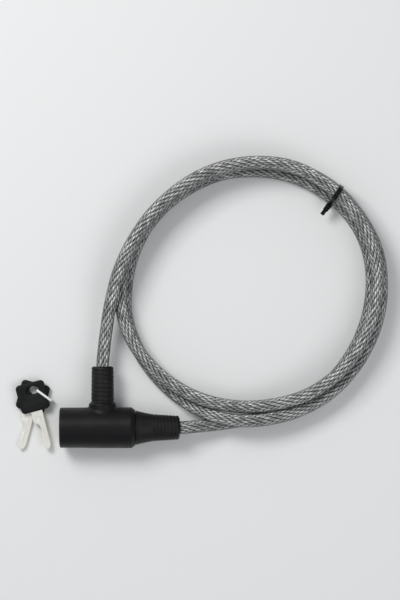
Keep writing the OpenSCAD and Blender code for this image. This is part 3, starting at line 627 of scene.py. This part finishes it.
# The wires of each strand run almost straight along the rope, slightly against the strands' turn,
# and each strand starts its wires a little further round than the last.
wires_round = 18
wire_lay = -0.9
strand_phase = 0.774
steel_rope, rope_tree, rope_shader = new_material("steel_rope")
place = add_node(rope_tree, "ShaderNodeSeparateXYZ", {
    0: add_node(rope_tree, "ShaderNodeUVMap", uv_map="along").outputs[0]})
along, round_turn = place.outputs[0], place.outputs[1]


def rope_math(operation, *values):
    """The output of a Math node in the rope's own material."""
    return add_math(rope_tree, operation, *values)


def turns_over(lay):
    """How many turns past a wire or strand that goes once round the rope in this length."""
    return rope_math("SUBTRACT", round_turn, rope_math("DIVIDE", along, lay))


def off_middle(turns):
    """How far off the middle of its own wire or strand: 0 to 0.5."""
    return rope_math("ABSOLUTE", rope_math("SUBTRACT", rope_math("FRACT", turns), 0.5))


strand_turns = rope_math("MULTIPLY", turns_over(rope_lay), strand_count)
strand_number = rope_math("FLOOR", strand_turns)
wire_turns = rope_math("ADD", rope_math("MULTIPLY", turns_over(wire_lay), wires_round),
                       rope_math("MULTIPLY", strand_number, strand_phase))
wire_top = add_range(rope_tree, off_middle(wire_turns), 0.5, 0.15)
strand_top = add_range(rope_tree, rope_math(
    "SUBTRACT", off_middle(strand_turns), rope_math("MULTIPLY", wire_top, 0.28)), 0.28, 0.10)
wire_number = add_node(rope_tree, "ShaderNodeCombineXYZ", {
    0: rope_math("FLOOR", wire_turns), 1: strand_number}).outputs[0]
wire_shade = add_node(rope_tree, "ShaderNodeTexWhiteNoise", {0: wire_number},
                      noise_dimensions="2D").outputs[0]
# Painted shade: the gaps between the wires and the grooves between the strands are darkened in the
# rope's colour, on top of their relief.
painted_shade_between_wires, painted_shade_between_strands = (0.03, 0.035, 0.035, 1), (0.012, 0.014, 0.014, 1)
wire_colour = add_blend(rope_tree, wire_shade, (0.34, 0.34, 0.335, 1), (0.82, 0.815, 0.80, 1))
wire_colour = add_blend(rope_tree, add_range(rope_tree, wire_top, 0, 1, 0.35, 1),
                        painted_shade_between_wires, wire_colour)
wire_colour = add_blend(rope_tree, strand_top, painted_shade_between_strands, wire_colour)
rope_tree.links.new(wire_colour, rope_shader.inputs["Base Color"])
rope_shader.inputs["Metallic"].default_value = 0.5
rope_shader.inputs["Roughness"].default_value = 0.5
wire_relief = add_node(rope_tree, "ShaderNodeBump", {
    "Height": wire_top, "Strength": 0.45, "Distance": 0.0003}).outputs[0]
rope_tree.links.new(wire_relief, rope_shader.inputs["Normal"])

# The vinyl is clear where it is seen straight on, and dense at its edges.
clear_vinyl, vinyl_tree, vinyl_shader = new_material("clear_vinyl")
vinyl_shader.inputs["Roughness"].default_value = 0.2
vinyl_shader.inputs["Specular IOR Level"].default_value = 0.3
edge_on = add_node(vinyl_tree, "ShaderNodeLayerWeight", {"Blend": 0.5}).outputs["Facing"]
density = add_range(vinyl_tree, edge_on, 0.30, 0.80, 0.10, 0.85)
vinyl_tree.links.new(density, vinyl_shader.inputs["Alpha"])
scuffs = add_node(vinyl_tree, "ShaderNodeTexNoise", {
    "Vector": add_node(vinyl_tree, "ShaderNodeTexCoord").outputs["Object"],
    "Scale": 160.0, "Detail": 3.0}).outputs[0]
vinyl_colour = add_blend(vinyl_tree, add_range(vinyl_tree, scuffs, 0.4, 0.8),
                         (0.040, 0.042, 0.042, 1), (0.09, 0.092, 0.09, 1))
vinyl_tree.links.new(vinyl_colour, vinyl_shader.inputs["Base Color"])

inside_branch, inside_plug = (0.0215, 0.0221, 0.0), (0.056, 0.0, 0.0)
line_spacing = 0.002
vinyl_steps = 28
on_table = [(x / 1000, y / 1000, z / 1000 + table_z) for x, y, z in cable_points_mm]
cable_line = smooth_line(
    [inside_branch, branch_exit, *on_table, plug_entry, inside_plug], line_spacing)
cable_line[:, 2] = np.maximum(cable_line[:, 2], table_z + cable_radius)
lengths_along = line_frames(cable_line)[0]
centre_radius = rope_radius / (1 + sin(pi / strand_count))
strand_radius = rope_radius - centre_radius
points_per_strand = 6
groove_angle = pi / 2 + pi / strand_count
rope_section = []
for strand in range(strand_count):
    middle = 2 * pi * strand / strand_count
    for step in range(points_per_strand):
        angle = middle - groove_angle + 2 * groove_angle * step / points_per_strand
        rope_section.append((centre_radius * cos(middle) + strand_radius * cos(angle),
                             centre_radius * sin(middle) + strand_radius * sin(angle)))


def rope_uv(row, column):
    """The length along the rope and the turn round it, at a corner of a face."""
    along = lengths_along[row]
    return np.stack([along, column / len(rope_section) + along / rope_lay], -1)


rope = tube_along("cable_rope", cable_line, np.array(rope_section), [steel_rope],
                  turn_length=rope_lay, uv=rope_uv)
vinyl = tube_along("cable_vinyl", cable_line, ring_points(cable_radius, vinyl_steps), [clear_vinyl])
# The rope and the vinyl stay where they are built, with no transform of their own.
for piece in (rope, vinyl):
    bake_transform(piece)
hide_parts("cable")

# ---- Keys ----
# Two flat keys of nickel-plated brass, each with a square bow of black plastic moulded over its
# tang. They lie on the table, one over the other, and turn on the strap through both bows.
key_place = (-0.03285, 0.0233)
bow_thickness, bow_half, bow_corner, bow_edge = 3.2, 11.3, 3.0, 0.6
band_half, band_rise = 9.6, 0.3
blade_low, blade_high, blade_edge = 0.65, 2.55, 0.22
groove_depth = 0.4
bow_plastic = finish_with("black_bow_plastic", moulded_skin, {
    "Colour": (0.004, 0.0046, 0.004, 1), "Handled": (0.007, 0.008, 0.007, 1),
    "Grain": 4200.0, "Roughness": 0.42}, bump=0.00005, Specular_IOR_Level=0.2)
plated_brass = finish_with("nickel_plated_brass", worked_metal, {
    "Light": (0.97, 0.955, 0.88, 1), "Dark": (0.84, 0.83, 0.75, 1), "Turning": 0.0,
    "Stretch": (4200, 300, 900), "Shine": 0.3}, bump=0.00003, Metallic=0.5)


def round_corners(outline, cut, steps=6):
    """A flat outline in millimetres, its corners rounded, with no points left on the straights."""
    corners = softened([(x, y, cut) for x, y in outline], steps).reshape(-1, steps + 2, 2)
    return corners[:, 1:-1].reshape(-1, 2)


def plate(name, outlines, low, high, edge, materials):
    """A flat plate from its outline and its holes, between two heights, its edges rounded."""
    shape = bpy.data.curves.new(name, "CURVE")
    shape.dimensions, shape.fill_mode = "2D", "BOTH"
    shape.extrude, shape.bevel_depth = (high - low) * mm / 2 - edge * mm, edge * mm
    shape.bevel_resolution, shape.offset = 3, -edge * mm
    for outline in outlines:
        line = shape.splines.new("POLY")
        line.points.add(len(outline) - 1)
        line.points.foreach_set("co", [v for x, y in outline for v in (x * mm, y * mm, 0, 1)])
        line.use_cyclic_u = True
    source = bpy.data.objects.new(name, shape)
    bpy.context.collection.objects.link(source)
    mesh = made_mesh(source)
    bpy.data.objects.remove(source)
    shape = bmesh.new()
    shape.from_mesh(mesh)
    bmesh.ops.remove_doubles(shape, verts=shape.verts, dist=same_place)
    bmesh.ops.translate(shape, verts=shape.verts, vec=(0, 0, (low + high) * mm / 2))
    shape.to_mesh(mesh)
    shape.free()
    mesh.materials.clear()
    for material in materials:
        mesh.materials.append(material)
    thing = bpy.data.objects.new(name, mesh)
    bpy.context.collection.objects.link(thing)
    tidy_faces(mesh)
    return thing


def lay_key_piece(thing, node, height, turn):
    """Moves a key's piece to its place and turn, by its vertices."""
    spot = Matrix.Translation((*key_place, table_z + height * mm))
    thing.data.transform(spot @ Matrix.Rotation(radians(turn), 4, "Z"))
    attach(thing, "keys")
    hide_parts(node)


blade_outline = [
    (4.5, -10.4), (4.4, -24), (4.3, -37), (3.5, -40), (1.2, -42.2), (-1.4, -39.9), (-1.8, -34.2),
    (-0.7, -29.6), (0.2, -26.8), (0, -24.2), (-0.6, -22.5), (-2.2, -20.8), (-3.9, -19.9),
    (-4.4, -19.2), (-4.4, -10.4)]
for side, height, turn in (("front", 4.1, 15), ("rear", 0.9, -15)):
    bow = plate(f"key_{side}_bow_shell", [
        oval_outline(0, 0, bow_half, bow_half, bow_corner),
        oval_outline(1.0, 5.3, 4.9, 3.1, 3.05)[::-1]], 0, bow_thickness, bow_edge, [bow_plastic])
    band_top = [(x, -3.2 + 1.2 * (x / band_half) ** 2)
                for x in np.linspace(band_half, -band_half, 13)]
    raised = plate(f"key_{side}_band", [round_corners(
        [(-band_half, -9.3), (-8.4, -10.4), (8.4, -10.4), (band_half, -9.3)] + band_top, 0.5)],
        2.4, bow_thickness + band_rise, 0.25, [bow_plastic])
    moulding = joined(f"key_{side}_bow_moulding", [bow, raised])
    lay_key_piece(moulding, f"key_{side}_bow", height, turn)
    blade = plate(f"key_{side}_blade_flat", [round_corners(blade_outline, 0.7)],
                  blade_low, blade_high, blade_edge, [plated_brass])
    # Each face has a milled groove along the blade, and a shallower round dimple near the bow.
    for face in (blade_high, blade_low):
        cut_away(blade, plate("groove", [oval_outline(2.2, -28, 0.6, 12, 0.55)],
                              face - groove_depth, face + groove_depth, 0.1, []))
        cut_away(blade, plate("dimple", [oval_outline(-1.0, -16.9, 1.8, 1.8, 1.75)],
                              face - groove_depth + 0.2, face + groove_depth - 0.2, 0.05, []))
    lay_key_piece(blade, f"key_{side}_blade", height, turn)

# ---- Key strap ----
# A loop of white nylon strap, 1.7 mm wide, goes through the holes of both bows and round their
# edges. Its ends are welded under the bows.
white_nylon = finish_with("white_nylon", moulded_skin, {
    "Colour": (0.80, 0.80, 0.77, 1), "Handled": (0.86, 0.86, 0.84, 1),
    "Grain": 2200.0, "Roughness": 0.42}, bump=0.00005)
strap_place = (-0.0289, 0.0282)
strap_turn = radians(-36)
strap_line = oval_outline(6.5, 4.1, 7.5, 4.05, 2.2)
strap_section = [(-0.85, -0.15), (-0.75, 0.0), (0.75, 0.0), (0.85, -0.15),
                 (0.85, -0.65), (0.75, -0.8), (-0.75, -0.8), (-0.85, -0.65)]
strap_rings = []
for (u, h), out_turn in zip(strap_line, corner_turns(9)):
    ring = []
    for w, out in strap_section:
        along, up = u + cos(out_turn) * out, h + sin(out_turn) * out
        ring.append((strap_place[0] + (along * cos(strap_turn) + w * sin(strap_turn)) * mm,
                     strap_place[1] + (along * sin(strap_turn) - w * cos(strap_turn)) * mm,
                     table_z + up * mm))
    strap_rings.append(ring)
strap = grid_object("key_strap", np.array(strap_rings), [white_nylon], ends="joined")
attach(strap, "keys")
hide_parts("key_tie")
